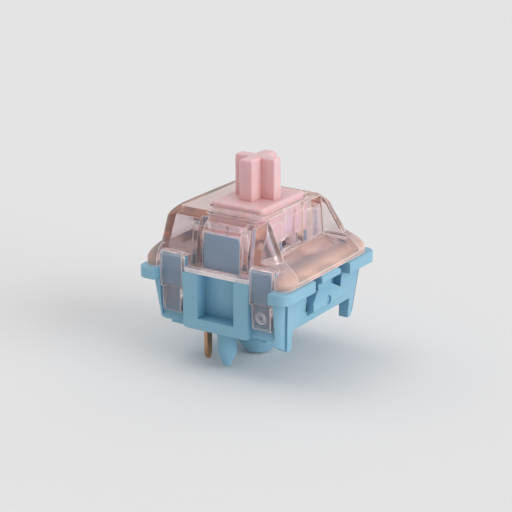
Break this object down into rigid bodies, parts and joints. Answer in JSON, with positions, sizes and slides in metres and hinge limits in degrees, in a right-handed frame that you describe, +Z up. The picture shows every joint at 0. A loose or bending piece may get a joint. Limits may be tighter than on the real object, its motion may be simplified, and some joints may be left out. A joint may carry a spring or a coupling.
{
  "type": "mechanical keyboard switch",
  "caption": "Mechanical keyboard switch with a light-blue lower housing, clear pink-tinted upper housing, pale pink cross stem, coil spring and sprung contact leaf; plate and board mounted.",
  "frame": {"origin": "centre of the centre post, in the plane where the lower housing seats on the circuit board", "axes": "+Z up along the stem's travel, +Y to the terminal side, -Y to the light recess, -X and +X to the latch sides"},
  "size_m": [0.0156, 0.0156, 0.0184],
  "materials": {
    "blue_nylon": "satin moulded",
    "clear_pink_plastic": "clear polished, faint pink tint",
    "pink_acetal": "satin moulded",
    "spring_steel": "drawn wire",
    "copper_alloy": "stamped, bright",
    "leaf_copper": "rolled strip, bright",
    "contact_alloy": "bright"
  },
  "bodies": {
    "housing": {"bottom_housing": "blue_nylon", "top_housing": "clear_pink_plastic", "fixed_terminal": "copper_alloy", "fixed_contact_point": "contact_alloy", "leaf_terminal": "copper_alloy", "return_spring": "spring_steel"},
    "plunger": {"stem": "pink_acetal"},
    "leaf": {"contact_leaf": "leaf_copper", "moving_contact_point": "contact_alloy"}
  },
  "joints": [
    {"name": "stem_slide", "type": "slide", "parent": "housing", "child": "plunger", "axis": [0, 0, -1], "range_m": [0, 0.004], "stiffness_N_per_m": 75, "springref_m": -0.004, "deforming": ["return_spring"]},
    {"name": "leaf_flex", "type": "hinge", "parent": "housing", "child": "leaf", "pos_m": [0, 0.0049, 0.00135], "axis": [1, 0, 0], "range_deg": [0, 6.2]}
  ],
  "couplings": [
    {"joint": "leaf_flex", "follows": "stem_slide", "rad_per_m": 22.689}
  ]
}
